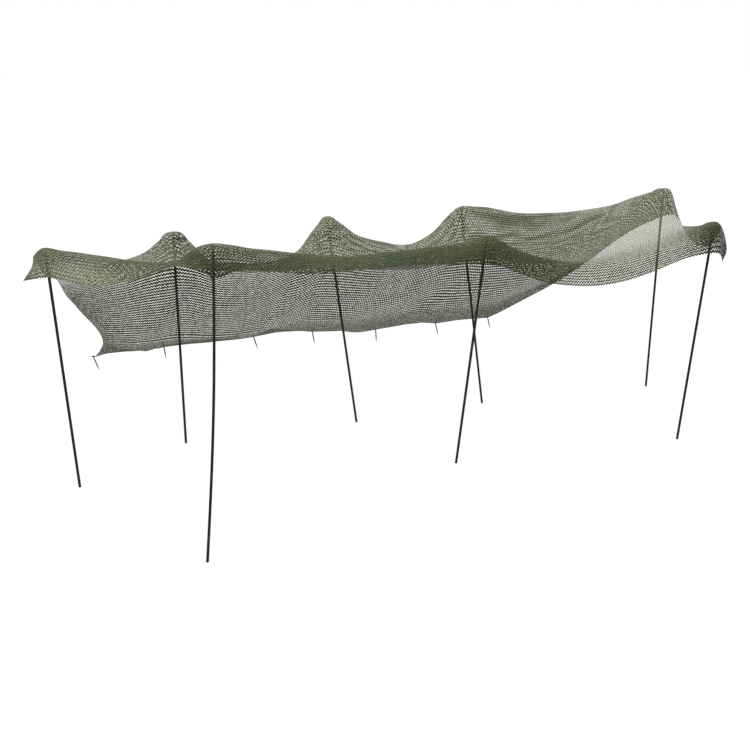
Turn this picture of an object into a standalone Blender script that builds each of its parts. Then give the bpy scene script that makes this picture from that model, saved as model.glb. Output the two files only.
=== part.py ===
"""Camouflage net hung over eight poles and pegged along its back hem.

Metres, +Z up, floor at z = 0. +X runs along the long side of the net, +Y runs
from the open front towards the pegged back hem.
"""
import bpy
import math
import numpy as np
from mathutils import Vector
from mathutils.bvhtree import BVHTree

for old in list(bpy.data.objects):
    bpy.data.objects.remove(old, do_unlink=True)

# ---------------------------------------------------------------- driving sizes
NET_THICKNESS = 0.003          # cloth plus its knitted relief
NET_COLUMNS = 46               # panels along the long side
NET_ROWS = 36                  # panels from the front hem to the pegged hem
FOLD_ROW = 2                   # row of panels that lies over the front poles
RIDGE_ROW = 12                 # row of panels that lies over the back poles
POLE_RADIUS = 0.014
BOWED_POLE_RADIUS = 0.013
POLE_SIDES = 16
SEAT_GAP = 0.0006              # between a pole tip and the cloth that rests on it
PEG_SHANK_RADIUS = 0.0090
PEG_TIP_RADIUS = 0.0030
PEG_HEAD_RADIUS = 0.026
PEG_HEAD_THICKNESS = 0.008
PEG_HEAD_LIFT = 0.012          # underside of the peg head above the hem
PEG_SIDES = 12
ORIGIN_X = -0.1008             # middle of the whole outline in the tables' axes
ORIGIN_Y = -0.0639

# ---------------------------------------------------------------- poles
# name, foot x, foot y, head x, head y, cloth z, column, row, bow in x,
# then how far the cloth has fallen one panel to the left, right, front, back
POLES = [
    ("pole_f1", -3.786, -1.137, -3.835, -1.156, 2.520, 2, 2, 0.0, 0.02, 0.02, 0.06, 0.04),
    ("pole_f2", -2.777, -3.034, -2.396, -2.025, 2.630, 12, 2, 0.03, 0.03, 0.02, 0.06, 0.05),
    ("pole_f3", 0.138, -1.901, 0.366, -1.966, 2.520, 28, 2, 0.0, 0.05, 0.06, 0.07, 0.05),
    ("pole_f4", 2.838, -2.160, 3.040, -2.078, 2.510, 44, 2, 0.0, 0.06, 0.01, 0.07, 0.05),
    ("pole_b1", -2.586, -0.379, -2.572, -0.553, 2.485, 8, 12, 0.0, 0.085, 0.10, 0.05, 0.07),
    ("pole_b2", -0.532, -0.437, -0.863, -0.448, 2.530, 18, 12, 0.0, 0.13, 0.08, 0.05, 0.07),
    ("pole_b3", 1.187, -0.374, 0.824, -0.329, 2.530, 28, 12, 0.0, 0.08, 0.00, 0.05, 0.06),
    ("pole_b4", 3.548, -0.542, 3.620, -0.370, 2.615, 44, 12, 0.0, 0.03, 0.01, 0.05, 0.06),
]

# name, hem column, lean of the tip in x and in y, shank centre outside the hem
PEGS = [
    ("peg_1", 0, 0.057, 0.004, 0.0095),
    ("peg_2", 7, 0.020, 0.004, 0.0098),
    ("peg_3", 17, 0.053, 0.004, 0.0106),
    ("peg_4", 24, 0.033, 0.004, 0.0100),
    ("peg_5", 31, 0.012, 0.004, 0.0101),
    ("peg_6", 39, 0.054, 0.004, 0.0107),
    ("peg_7", 46, 0.060, 0.020, 0.0130),
]

# level rings that shape the top of a pole: share of the radius, depth below the tip
POLE_TIP = [(1.00, 0.026), (0.86, 0.014), (0.58, 0.006), (0.22, 0.0)]

# ---------------------------------------------------------------- hang of the net
# column, x, y, z of the loose front hem
FRONT_HEM = [
    (0, -4.064, -1.380, 2.263), (2, -3.835, -1.290, 2.252), (5, -3.410, -1.500, 2.196),
    (8, -2.980, -1.790, 2.312), (10, -2.690, -2.090, 2.470), (12, -2.396, -2.160, 2.324),
    (13, -2.235, -2.175, 2.395), (14, -2.060, -2.180, 2.388), (17, -1.540, -2.190, 2.318), (20, -1.010, -2.210, 2.322),
    (23, -0.490, -2.160, 2.316), (26, 0.020, -2.120, 2.270), (28, 0.366, -2.100, 2.234),
    (30, 0.700, -2.010, 2.118), (32, 1.030, -1.980, 1.978), (34, 1.370, -1.980, 1.910),
    (36, 1.700, -1.990, 1.884), (38, 2.040, -2.010, 1.916), (40, 2.370, -2.060, 2.014),
    (42, 2.710, -2.140, 2.150), (44, 3.040, -2.205, 2.180), (46, 3.130, -2.170, 2.070),
]
# column, x, y, z of the fold line over the front poles
FRONT_FOLD = [
    (0, -3.946, -1.150, 2.450), (2, -3.835, -1.156, 2.520), (5, -3.410, -1.400, 2.470),
    (8, -2.980, -1.640, 2.425), (10, -2.690, -1.840, 2.460), (12, -2.396, -2.025, 2.630),
    (14, -2.060, -2.020, 2.550), (17, -1.540, -1.990, 2.460), (20, -1.010, -1.970, 2.420),
    (23, -0.490, -1.960, 2.435), (26, 0.020, -1.960, 2.465), (28, 0.366, -1.966, 2.520),
    (30, 0.700, -1.950, 2.360), (32, 1.030, -1.900, 2.235), (34, 1.370, -1.860, 2.150),
    (36, 1.700, -1.840, 2.120), (38, 2.040, -1.860, 2.140), (40, 2.370, -1.920, 2.210),
    (42, 2.710, -2.000, 2.330), (44, 3.040, -2.078, 2.510), (46, 3.177, -2.060, 2.440),
]
# column, x, y, z of the ridge over the back poles
BACK_RIDGE = [
    (0, -3.770, -0.120, 1.950), (2, -3.470, -0.280, 2.080), (4, -3.170, -0.420, 2.180),
    (6, -2.870, -0.520, 2.260), (8, -2.572, -0.553, 2.485), (10, -2.230, -0.530, 2.150),
    (12, -1.890, -0.510, 2.095), (14, -1.550, -0.490, 2.080), (16, -1.200, -0.470, 2.175),
    (18, -0.863, -0.448, 2.530), (20, -0.530, -0.420, 2.310), (22, -0.190, -0.400, 2.200),
    (24, 0.150, -0.380, 2.140), (26, 0.490, -0.350, 2.270), (28, 0.824, -0.329, 2.530),
    (30, 1.170, -0.330, 2.515), (32, 1.520, -0.340, 2.430), (34, 1.870, -0.340, 2.405),
    (36, 2.220, -0.350, 2.395), (38, 2.570, -0.350, 2.415), (40, 2.920, -0.360, 2.460),
    (42, 3.270, -0.360, 2.550), (44, 3.620, -0.370, 2.615), (46, 3.860, -0.330, 2.250),
]
# column, x, y, z of the pegged back hem
PEG_HEM = [
    (0, -3.430, 2.560, 0.200), (3, -2.980, 2.820, 0.200), (5, -2.720, 2.620, 0.190),
    (7, -2.440, 2.770, 0.200), (11, -1.920, 2.870, 0.200), (14, -1.480, 2.820, 0.200),
    (17, -1.106, 2.760, 0.200), (19, -0.850, 2.930, 0.250), (21, -0.580, 2.830, 0.240),
    (24, -0.205, 2.720, 0.200), (27, 0.150, 2.670, 0.200), (29, 0.420, 2.520, 0.180),
    (31, 0.755, 2.506, 0.200), (34, 1.120, 2.640, 0.200), (37, 1.500, 2.650, 0.200),
    (39, 1.754, 2.510, 0.200), (42, 2.120, 2.560, 0.200), (46, 2.700, 2.585, 0.180),
]
# row, x, y, z of the left side hem
LEFT_HEM = [
    (0, -4.064, -1.380, 2.263), (1, -3.965, -1.240, 2.365), (2, -3.946, -1.150, 2.450), (4, -3.930, -0.950, 2.330),
    (7, -3.870, -0.620, 2.140), (12, -3.770, -0.120, 1.950), (15, -3.700, 0.300, 1.670),
    (18, -3.590, 0.640, 1.420), (21, -3.420, 0.960, 1.120), (24, -3.330, 1.240, 0.850),
    (30, -3.360, 1.930, 0.500), (36, -3.430, 2.560, 0.200),
]
# row, x, y, z of the right side hem
RIGHT_HEM = [
    (0, 3.130, -2.170, 2.070), (1, 3.215, -2.140, 2.200), (2, 3.177, -2.060, 2.440),
    (4, 3.360, -1.720, 2.180), (6, 3.520, -1.300, 2.070), (9, 3.740, -0.800, 2.070),
    (12, 3.860, -0.330, 2.250), (14, 3.800, 0.000, 2.140), (16, 3.700, 0.240, 1.990),
    (20, 3.460, 0.680, 1.580), (25, 3.170, 1.200, 1.100), (30, 2.930, 1.860, 0.640),
    (34, 2.760, 2.400, 0.290), (36, 2.700, 2.585, 0.180),
]
# row, x, y, z of the fold between the two right end poles
RIGHT_FOLD_COLUMN = 44
RIGHT_FOLD = [
    (2, 3.040, -2.078, 2.510), (4, 3.160, -1.740, 2.410), (6, 3.270, -1.390, 2.330),
    (7, 3.330, -1.220, 2.300), (8, 3.390, -1.050, 2.310), (9, 3.450, -0.880, 2.340),
    (10, 3.510, -0.710, 2.400), (11, 3.570, -0.540, 2.500), (12, 3.620, -0.370, 2.615),
]

# column, how far the canopy hangs below a straight run from front fold to back ridge
CANOPY_BELLY = [
    (0, 0.00), (3, 0.06), (8, 0.11), (11, 0.16), (14, 0.25), (18, 0.31), (22, 0.34),
    (26, 0.41), (30, 0.48), (34, 0.34), (38, 0.18), (42, 0.06), (46, 0.00),
]

# hang of the cloth between those lines
PULL = 1.0                     # tension between neighbouring panel corners
STIFFNESS = 0.6                # resistance to folding sharply
WEIGHT = 0.012                 # sag under its own weight
LINE_HOLD = 40.0               # how closely the hems and ridges are followed
CROWN_HOLD = 30.0              # how closely the rounding over a pole is followed
FOLD_REACH = 0.105             # how far the first row stands out in front of a pole
CANOPY_HOLD = 0.30             # how closely the canopy's belly is followed
SLOPE_HOLD = 0.25              # how closely the back slope is followed
SLOPE_SLACK = 0.52             # 0 is a straight slope, 1 is a deep hanging curve


def smooth_line(table, count):
    """Smooth curve through a table, one point per panel corner."""
    rows = np.array(table, dtype=float)
    knots = rows[:, 0]
    points = rows[:, 1:4]
    slopes = np.zeros_like(points)
    slopes[1:-1] = (points[2:] - points[:-2]) / (knots[2:] - knots[:-2])[:, None]
    slopes[0] = (points[1] - points[0]) / (knots[1] - knots[0])
    slopes[-1] = (points[-1] - points[-2]) / (knots[-1] - knots[-2])
    at = np.arange(count + 1, dtype=float)
    span = np.clip(np.searchsorted(knots, at, side="right") - 1, 0, len(knots) - 2)
    width = (knots[span + 1] - knots[span])[:, None]
    u = (at - knots[span])[:, None] / width
    out = (2 * u ** 3 - 3 * u ** 2 + 1) * points[span]
    out = out + (u ** 3 - 2 * u ** 2 + u) * width * slopes[span]
    out = out + (-2 * u ** 3 + 3 * u ** 2) * points[span + 1]
    out = out + (u ** 3 - u ** 2) * width * slopes[span + 1]
    return out


def slope_line(top, bottom, slack):
    """Hanging curve from the ridge to the pegged hem, evenly spaced by length."""
    part = np.linspace(0.0, 1.0, 201)
    fall = (1.0 - slack) * part
    fall = fall + slack * (1.0 - np.exp(-4.0 * part)) / (1.0 - math.exp(-4.0))
    line = top + (bottom - top) * part[:, None]
    line[:, 2] = top[2] + (bottom[2] - top[2]) * fall
    steps = np.linalg.norm(np.diff(line, axis=0), axis=1)
    length = np.concatenate([[0.0], np.cumsum(steps)])
    even = np.linspace(0.0, length[-1], NET_ROWS - RIDGE_ROW + 1)
    return np.stack([np.interp(even, length, line[:, k]) for k in range(3)], axis=1)


def hang_net():
    """Corner positions of every net panel: array [column, row, xyz]."""
    columns = NET_COLUMNS + 1
    rows = NET_ROWS + 1
    goal = np.zeros((columns, rows, 3))
    hold = np.zeros((columns, rows, 3))
    fold = smooth_line(FRONT_FOLD, NET_COLUMNS)
    hem = smooth_line(FRONT_HEM, NET_COLUMNS)
    ridge = smooth_line(BACK_RIDGE, NET_COLUMNS)
    pegged = smooth_line(PEG_HEM, NET_COLUMNS)
    left = smooth_line(LEFT_HEM, NET_ROWS)
    right = smooth_line(RIGHT_HEM, NET_ROWS)
    for i in range(columns):
        slack = SLOPE_SLACK * min(1.0, max(0.3, (NET_COLUMNS - i) / 8.0))
        line = slope_line(ridge[i], pegged[i], slack)
        for j in range(RIDGE_ROW + 1, NET_ROWS):
            goal[i, j] = line[j - RIDGE_ROW]
            hold[i, j] = SLOPE_HOLD
    belly = np.array(CANOPY_BELLY)
    for i in range(columns):
        depth = np.interp(i, belly[:, 0], belly[:, 1])
        for j in range(FOLD_ROW + 1, RIDGE_ROW):
            part = (j - FOLD_ROW) / (RIDGE_ROW - FOLD_ROW)
            goal[i, j] = fold[i] + (ridge[i] - fold[i]) * part
            goal[i, j, 2] -= 4.0 * depth * part * (1.0 - part)
            hold[i, j] = CANOPY_HOLD
    for i in range(columns):
        for j, line in ((FOLD_ROW, fold), (0, hem), (RIDGE_ROW, ridge), (NET_ROWS, pegged)):
            goal[i, j] = line[i]
            hold[i, j] = LINE_HOLD
    table = np.array(RIGHT_FOLD)
    for j in range(FOLD_ROW, RIDGE_ROW + 1):
        for k in range(3):
            goal[RIGHT_FOLD_COLUMN, j, k] = np.interp(j, table[:, 0], table[:, k + 1])
        hold[RIGHT_FOLD_COLUMN, j] = LINE_HOLD / 2
    for j in range(rows):
        goal[0, j] = left[j]
        goal[NET_COLUMNS, j] = right[j]
        hold[0, j] = LINE_HOLD
        hold[NET_COLUMNS, j] = LINE_HOLD
    pinned = {}
    for pole in POLES:
        name, fx, fy, x, y, z, i, j, bow, lower_l, lower_r, lower_f, lower_b = pole
        for di, dj, lower in ((-1, 0, lower_l), (1, 0, lower_r), (0, -1, lower_f), (0, 1, lower_b)):
            goal[i + di, j + dj, 2] = z - lower
            hold[i + di, j + dj, 2] = CROWN_HOLD
        if j == FOLD_ROW:
            goal[i, j - 1, :2] = (x, y - FOLD_REACH)
            hold[i, j - 1, :2] = CROWN_HOLD
        pinned[i * rows + j] = (x, y, z)
    for name, i, lean_x, lean_y, outset in PEGS:
        pinned[i * rows + NET_ROWS] = tuple(pegged[i])
    total = columns * rows
    matrix = np.zeros((total, total))

    def link(nodes, factors, strength):
        nodes = np.array(nodes)
        factors = np.array(factors)
        for node, factor in zip(nodes, factors):
            matrix[node, nodes] += strength * factor * factors

    for i in range(columns):
        for j in range(rows):
            n = i * rows + j
            if i < NET_COLUMNS:
                link([n, n + rows], [1.0, -1.0], PULL)
            if j < NET_ROWS:
                link([n, n + 1], [1.0, -1.0], PULL)
            if 0 < i < NET_COLUMNS:
                link([n - rows, n, n + rows], [1.0, -2.0, 1.0], STIFFNESS)
            if 0 < j < NET_ROWS:
                link([n - 1, n, n + 1], [1.0, -2.0, 1.0], STIFFNESS)
    fixed = np.array(sorted(pinned))
    free = np.setdiff1d(np.arange(total), fixed)
    corners = np.zeros((total, 3))
    corners[fixed] = np.array([pinned[n] for n in fixed])
    goal = goal.reshape(total, 3)
    hold = hold.reshape(total, 3)
    load = np.zeros((total, 3))
    load[:, 2] = -WEIGHT
    for k in range(3):
        system = matrix + np.diag(hold[:, k])
        right_side = load[:, k] + hold[:, k] * goal[:, k]
        right_side = right_side[free] - system[np.ix_(free, fixed)] @ corners[fixed, k]
        corners[free, k] = np.linalg.solve(system[np.ix_(free, free)], right_side)
    return np.round(corners.reshape(columns, rows, 3), 5)


def corner_normals(grid):
    """Unit normal at every panel corner, upward side of the cloth."""
    along = np.gradient(grid, axis=0)
    across = np.gradient(grid, axis=1)
    normal = np.cross(along, across)
    return normal / np.linalg.norm(normal, axis=2, keepdims=True)


# ---------------------------------------------------------------- materials
def material(name, colour, roughness, metallic):
    mat = bpy.data.materials.new(name)
    mat.use_nodes = True
    shader = mat.node_tree.nodes["Principled BSDF"]
    shader.inputs["Base Color"].default_value = (*colour, 1.0)
    shader.inputs["Roughness"].default_value = roughness
    shader.inputs["Metallic"].default_value = metallic
    return mat


NET_CLOTH = material("net_cloth", (0.110, 0.125, 0.075), 0.80, 0.0)
POLE_PAINT = material("pole_paint", (0.012, 0.016, 0.010), 0.40, 0.0)
PEG_STEEL = material("peg_steel", (0.090, 0.090, 0.090), 0.45, 1.0)


def add_solid(name, vertices, faces, mat):
    mesh = bpy.data.meshes.new(name)
    mesh.from_pydata([tuple(float(c) for c in v) for v in vertices], [], faces)
    mesh.materials.append(mat)
    mesh.validate()
    mesh.update()
    obj = bpy.data.objects.new(name, mesh)
    obj.location = (-ORIGIN_X, -ORIGIN_Y, 0.0)
    bpy.context.scene.collection.objects.link(obj)
    return obj


def net_solid(grid):
    """Closed sheet: upper skin, lower skin and the rim between them."""
    columns, rows = grid.shape[:2]
    offset = corner_normals(grid) * (NET_THICKNESS / 2)
    upper = (grid + offset).reshape(-1, 3)
    lower = (grid - offset).reshape(-1, 3)
    count = columns * rows
    vertices = np.concatenate([upper, lower])
    faces = []
    for i in range(columns - 1):
        for j in range(rows - 1):
            a = i * rows + j
            b = a + rows
            c = b + 1
            d = a + 1
            faces.append((a, b, c))
            faces.append((a, c, d))
            faces.append((count + a, count + c, count + b))
            faces.append((count + a, count + d, count + c))
    rim = [i * rows for i in range(columns)]
    rim += [(columns - 1) * rows + j for j in range(1, rows)]
    rim += [i * rows + rows - 1 for i in range(columns - 2, -1, -1)]
    rim += [j for j in range(rows - 2, 0, -1)]
    for k, a in enumerate(rim):
        b = rim[(k + 1) % len(rim)]
        faces.append((a, count + a, count + b))
        faces.append((a, count + b, b))
    return add_solid("net", vertices, faces, NET_CLOTH)


def ring_solid(name, rings, sides, mat):
    """Stack of level rings (x, y, z, radius) closed by a flat face at each end."""
    vertices = []
    for x, y, z, radius in rings:
        for k in range(sides):
            angle = 2 * math.pi * k / sides
            vertices.append((x + radius * math.cos(angle), y + radius * math.sin(angle), z))
    faces = []
    for r in range(len(rings) - 1):
        for k in range(sides):
            a = r * sides + k
            b = r * sides + (k + 1) % sides
            faces.append((a, b, b + sides, a + sides))
    faces.append(tuple(range(sides - 1, -1, -1)))
    last = (len(rings) - 1) * sides
    faces.append(tuple(range(last, last + sides)))
    return add_solid(name, vertices, faces, mat)


def tip_height(cloth, x, y, radius):
    """Height of a pole tip that just carries the cloth above it."""
    lowest = math.inf
    for share, depth in POLE_TIP:
        for k in range(POLE_SIDES):
            angle = 2 * math.pi * k / POLE_SIDES
            reach = radius * share
            start = Vector((x + reach * math.cos(angle), y + reach * math.sin(angle), 0.0))
            hit = cloth.ray_cast(start, Vector((0.0, 0.0, 1.0)))[0]
            lowest = min(lowest, hit.z + depth)
    return round(lowest - SEAT_GAP, 5)


def pole_solid(pole, cloth):
    name, foot_x, foot_y, head_x, head_y = pole[:5]
    bow = pole[8]
    radius = BOWED_POLE_RADIUS if bow else POLE_RADIUS
    top = tip_height(cloth, head_x, head_y, radius)
    shoulder = top - POLE_TIP[0][1]
    heights = [0.0, 0.25, 0.5, 0.75, 1.0] if bow else [0.0, 1.0]
    rings = []
    for part in heights:
        x = foot_x + (head_x - foot_x) * part + bow * math.sin(math.pi * part)
        y = foot_y + (head_y - foot_y) * part
        rings.append((x, y, shoulder * part, radius))
    for share, depth in POLE_TIP[1:]:
        rings.append((head_x, head_y, top - depth, radius * share))
    return ring_solid(name, rings, POLE_SIDES, POLE_PAINT)


def outward(grid, column):
    """Level direction that points away from the net at a hem corner."""
    before = grid[max(column - 1, 0), NET_ROWS, :2]
    after = grid[min(column + 1, NET_COLUMNS), NET_ROWS, :2]
    along = (after - before) / np.linalg.norm(after - before)
    away = np.array([-along[1], along[0]])
    if column == 0:
        away = away - along
    if column == NET_COLUMNS:
        away = away + along
    return away / np.linalg.norm(away)


def peg_solid(peg, grid):
    """Leaning peg whose shank stands against the hem, under a flat round head."""
    name, column, lean_x, lean_y, outset = peg
    hem = grid[column, NET_ROWS]
    away = outward(grid, column)
    under = hem[2] + PEG_HEAD_LIFT

    def ring(z, at, radius):
        part = 1.0 - at / hem[2]
        x = hem[0] + away[0] * outset + lean_x * part
        y = hem[1] + away[1] * outset + lean_y * part
        return (x, y, z, radius)

    rings = [ring(0.0, 0.0, PEG_TIP_RADIUS)]
    rings.append(ring(under * 0.35, under * 0.35, PEG_SHANK_RADIUS))
    rings.append(ring(under, under, PEG_SHANK_RADIUS))
    rings.append(ring(under + 0.0005, under, PEG_HEAD_RADIUS))
    rings.append(ring(under + PEG_HEAD_THICKNESS * 0.6, under, PEG_HEAD_RADIUS))
    rings.append(ring(under + PEG_HEAD_THICKNESS, under, PEG_HEAD_RADIUS * 0.72))
    return ring_solid(name, rings, PEG_SIDES, PEG_STEEL)


GRID = hang_net()
NET = net_solid(GRID)
CLOTH = BVHTree.FromPolygons([v.co for v in NET.data.vertices],
                             [p.vertices for p in NET.data.polygons])
for pole_row in POLES:
    pole_solid(pole_row, CLOTH)
for peg_row in PEGS:
    peg_solid(peg_row, GRID)
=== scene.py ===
"""Dressed camouflage net on its poles and pegs: knitted strands, poles, pegs, floor,
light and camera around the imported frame. Metres, +Z up, floor at z = 0.
"""
import bmesh
import bpy
import math
import numpy as np
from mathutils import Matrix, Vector


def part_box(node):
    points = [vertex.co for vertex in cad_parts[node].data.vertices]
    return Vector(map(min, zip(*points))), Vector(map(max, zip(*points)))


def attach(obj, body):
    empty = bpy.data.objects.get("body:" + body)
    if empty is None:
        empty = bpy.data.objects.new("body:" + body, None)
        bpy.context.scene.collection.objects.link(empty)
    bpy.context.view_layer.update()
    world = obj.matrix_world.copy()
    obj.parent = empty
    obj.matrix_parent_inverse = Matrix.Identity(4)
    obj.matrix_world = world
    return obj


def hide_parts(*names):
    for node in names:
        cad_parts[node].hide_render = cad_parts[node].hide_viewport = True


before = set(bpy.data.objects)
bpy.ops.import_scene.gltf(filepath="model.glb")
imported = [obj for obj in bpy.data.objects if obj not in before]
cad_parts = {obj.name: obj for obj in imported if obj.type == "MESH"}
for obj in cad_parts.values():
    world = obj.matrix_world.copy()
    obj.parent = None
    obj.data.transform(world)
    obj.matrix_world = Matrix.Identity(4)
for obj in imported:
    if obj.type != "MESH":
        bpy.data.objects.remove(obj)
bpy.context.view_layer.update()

# ---------------------------------------------------------------- driving sizes
NET_COLUMNS = 46               # panels along the long side
NET_ROWS = 36                  # panels from the front hem to the pegged hem
FOLD_ROW = 2                   # row of panels that lies over the front poles
RIDGE_ROW = 12                 # row of panels that lies over the back poles
PANEL_WIDTH = 0.175            # flat size of a panel
PANEL_LENGTH = 0.1625
POLE_RADIUS = 0.014
BOWED_POLE_RADIUS = 0.013
PEG_SHANK_RADIUS = 0.0090
PEG_TIP_RADIUS = 0.0030
PEG_HEAD_RADIUS = 0.026
PEG_HEAD_THICKNESS = 0.008
ORIGIN_X = -0.1008             # middle of the whole outline in the tables' axes
ORIGIN_Y = -0.0639
CORNER_DECIMALS = 5            # corners of the panels are rounded to a hundredth of a millimetre

# ---------------------------------------------------------------- poles
# name, foot x, foot y, head x, head y, cloth z, column, row, bow in x,
# then how far the cloth has fallen one panel to the left, right, front, back
POLES = [
    ("pole_f1", -3.786, -1.137, -3.835, -1.156, 2.520, 2, 2, 0.0, 0.02, 0.02, 0.06, 0.04),
    ("pole_f2", -2.777, -3.034, -2.396, -2.025, 2.630, 12, 2, 0.03, 0.03, 0.02, 0.06, 0.05),
    ("pole_f3", 0.138, -1.901, 0.366, -1.966, 2.520, 28, 2, 0.0, 0.05, 0.06, 0.07, 0.05),
    ("pole_f4", 2.838, -2.160, 3.040, -2.078, 2.510, 44, 2, 0.0, 0.06, 0.01, 0.07, 0.05),
    ("pole_b1", -2.586, -0.379, -2.572, -0.553, 2.485, 8, 12, 0.0, 0.085, 0.10, 0.05, 0.07),
    ("pole_b2", -0.532, -0.437, -0.863, -0.448, 2.530, 18, 12, 0.0, 0.13, 0.08, 0.05, 0.07),
    ("pole_b3", 1.187, -0.374, 0.824, -0.329, 2.530, 28, 12, 0.0, 0.08, 0.00, 0.05, 0.06),
    ("pole_b4", 3.548, -0.542, 3.620, -0.370, 2.615, 44, 12, 0.0, 0.03, 0.01, 0.05, 0.06),
]

# column and row of the net's corner that rests on each pole
POLE_CORNERS = {pole[0]: (pole[6], pole[7]) for pole in POLES}

# name, hem column, lean of the tip in x and in y, shank centre outside the hem
PEGS = [
    ("peg_1", 0, 0.057, 0.004, 0.0095),
    ("peg_2", 7, 0.020, 0.004, 0.0098),
    ("peg_3", 17, 0.053, 0.004, 0.0106),
    ("peg_4", 24, 0.033, 0.004, 0.0100),
    ("peg_5", 31, 0.012, 0.004, 0.0101),
    ("peg_6", 39, 0.054, 0.004, 0.0107),
    ("peg_7", 46, 0.060, 0.020, 0.0130),
]

# level rings that shape the top of a pole: share of the radius, depth below the tip
POLE_TIP = [(1.00, 0.026), (0.86, 0.014), (0.58, 0.006), (0.22, 0.0)]

# ---------------------------------------------------------------- hang of the net
# column, x, y, z of the loose front hem
FRONT_HEM = [
    (0, -4.064, -1.380, 2.263), (2, -3.835, -1.290, 2.252), (5, -3.410, -1.500, 2.196),
    (8, -2.980, -1.790, 2.312), (10, -2.690, -2.090, 2.470), (12, -2.396, -2.160, 2.324),
    (13, -2.235, -2.175, 2.395), (14, -2.060, -2.180, 2.388), (17, -1.540, -2.190, 2.318),
    (20, -1.010, -2.210, 2.322), (23, -0.490, -2.160, 2.316), (26, 0.020, -2.120, 2.270),
    (28, 0.366, -2.100, 2.234),
    (30, 0.700, -2.010, 2.118), (32, 1.030, -1.980, 1.978), (34, 1.370, -1.980, 1.910),
    (36, 1.700, -1.990, 1.884), (38, 2.040, -2.010, 1.916), (40, 2.370, -2.060, 2.014),
    (42, 2.710, -2.140, 2.150), (44, 3.040, -2.205, 2.180), (46, 3.130, -2.170, 2.070),
]
# column, x, y, z of the fold line over the front poles
FRONT_FOLD = [
    (0, -3.946, -1.150, 2.450), (2, -3.835, -1.156, 2.520), (5, -3.410, -1.400, 2.470),
    (8, -2.980, -1.640, 2.425), (10, -2.690, -1.840, 2.460), (12, -2.396, -2.025, 2.630),
    (14, -2.060, -2.020, 2.550), (17, -1.540, -1.990, 2.460), (20, -1.010, -1.970, 2.420),
    (23, -0.490, -1.960, 2.435), (26, 0.020, -1.960, 2.465), (28, 0.366, -1.966, 2.520),
    (30, 0.700, -1.950, 2.360), (32, 1.030, -1.900, 2.235), (34, 1.370, -1.860, 2.150),
    (36, 1.700, -1.840, 2.120), (38, 2.040, -1.860, 2.140), (40, 2.370, -1.920, 2.210),
    (42, 2.710, -2.000, 2.330), (44, 3.040, -2.078, 2.510), (46, 3.177, -2.060, 2.440),
]
# column, x, y, z of the ridge over the back poles
BACK_RIDGE = [
    (0, -3.770, -0.120, 1.950), (2, -3.470, -0.280, 2.080), (4, -3.170, -0.420, 2.180),
    (6, -2.870, -0.520, 2.260), (8, -2.572, -0.553, 2.485), (10, -2.230, -0.530, 2.150),
    (12, -1.890, -0.510, 2.095), (14, -1.550, -0.490, 2.080), (16, -1.200, -0.470, 2.175),
    (18, -0.863, -0.448, 2.530), (20, -0.530, -0.420, 2.310), (22, -0.190, -0.400, 2.200),
    (24, 0.150, -0.380, 2.140), (26, 0.490, -0.350, 2.270), (28, 0.824, -0.329, 2.530),
    (30, 1.170, -0.330, 2.515), (32, 1.520, -0.340, 2.430), (34, 1.870, -0.340, 2.405),
    (36, 2.220, -0.350, 2.395), (38, 2.570, -0.350, 2.415), (40, 2.920, -0.360, 2.460),
    (42, 3.270, -0.360, 2.550), (44, 3.620, -0.370, 2.615), (46, 3.860, -0.330, 2.250),
]
# column, x, y, z of the pegged back hem
PEG_HEM = [
    (0, -3.430, 2.560, 0.200), (3, -2.980, 2.820, 0.200), (5, -2.720, 2.620, 0.190),
    (7, -2.440, 2.770, 0.200), (11, -1.920, 2.870, 0.200), (14, -1.480, 2.820, 0.200),
    (17, -1.106, 2.760, 0.200), (19, -0.850, 2.930, 0.250), (21, -0.580, 2.830, 0.240),
    (24, -0.205, 2.720, 0.200), (27, 0.150, 2.670, 0.200), (29, 0.420, 2.520, 0.180),
    (31, 0.755, 2.506, 0.200), (34, 1.120, 2.640, 0.200), (37, 1.500, 2.650, 0.200),
    (39, 1.754, 2.510, 0.200), (42, 2.120, 2.560, 0.200), (46, 2.700, 2.585, 0.180),
]
# row, x, y, z of the left side hem
LEFT_HEM = [
    (0, -4.064, -1.380, 2.263), (1, -3.965, -1.240, 2.365), (2, -3.946, -1.150, 2.450),
    (4, -3.930, -0.950, 2.330),
    (7, -3.870, -0.620, 2.140), (12, -3.770, -0.120, 1.950), (15, -3.700, 0.300, 1.670),
    (18, -3.590, 0.640, 1.420), (21, -3.420, 0.960, 1.120), (24, -3.330, 1.240, 0.850),
    (30, -3.360, 1.930, 0.500), (36, -3.430, 2.560, 0.200),
]
# row, x, y, z of the right side hem
RIGHT_HEM = [
    (0, 3.130, -2.170, 2.070), (1, 3.215, -2.140, 2.200), (2, 3.177, -2.060, 2.440),
    (4, 3.360, -1.720, 2.180), (6, 3.520, -1.300, 2.070), (9, 3.740, -0.800, 2.070),
    (12, 3.860, -0.330, 2.250), (14, 3.800, 0.000, 2.140), (16, 3.700, 0.240, 1.990),
    (20, 3.460, 0.680, 1.580), (25, 3.170, 1.200, 1.100), (30, 2.930, 1.860, 0.640),
    (34, 2.760, 2.400, 0.290), (36, 2.700, 2.585, 0.180),
]
RIGHT_FOLD_COLUMN = 44         # column of the two right end poles
# row, x, y, z of the fold between them
RIGHT_FOLD = [
    (2, 3.040, -2.078, 2.510), (4, 3.160, -1.740, 2.410), (6, 3.270, -1.390, 2.330),
    (7, 3.330, -1.220, 2.300), (8, 3.390, -1.050, 2.310), (9, 3.450, -0.880, 2.340),
    (10, 3.510, -0.710, 2.400), (11, 3.570, -0.540, 2.500), (12, 3.620, -0.370, 2.615),
]

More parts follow.
